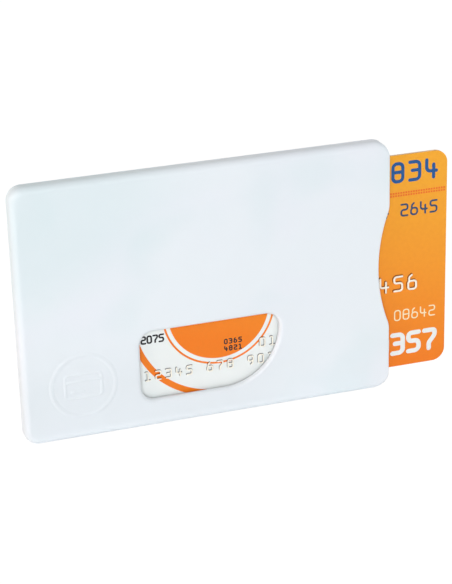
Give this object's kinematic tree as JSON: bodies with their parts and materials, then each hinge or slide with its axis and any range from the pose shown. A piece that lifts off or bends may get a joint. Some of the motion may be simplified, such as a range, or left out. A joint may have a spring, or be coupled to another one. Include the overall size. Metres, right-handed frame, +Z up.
{
  "type": "card holder",
  "caption": "Hard flat sleeve for one bank card, with a finger window, a thumb notch at its open end and foil linings, and a card that slides part-way out.",
  "frame": {"origin": "middle of the bottom long edge that the sleeve stands on, half way through its thickness", "axes": "+X along the sleeve towards its open mouth, +Y from the front to the back, +Z up across the card"},
  "size_m": [0.1058, 0.0041, 0.0627],
  "materials": {
    "shell": "satin",
    "foil": "satin",
    "card_print": "satin",
    "card_core": "matte",
    "copper": "satin",
    "gilt": "satin",
    "resin": "matte",
    "stripe": "satin",
    "panel": "matte"
  },
  "bodies": {
    "sleeve": {"front_shell": "shell", "back_shell": "shell", "front_shield": "foil", "back_shield": "foil"},
    "card": {"card_front_sheet": "card_print", "card_inlay": "card_core", "card_back_sheet": "card_print", "antenna_coil": "copper", "chip_contact_plate": "gilt", "chip_capsule": "resin", "magnetic_stripe": "stripe", "signature_panel": "panel"}
  },
  "joints": [
    {"name": "card_slide", "type": "slide", "parent": "sleeve", "child": "card", "axis": [1, 0, 0], "range_m": [-0.017, 0.0712]}
  ]
}
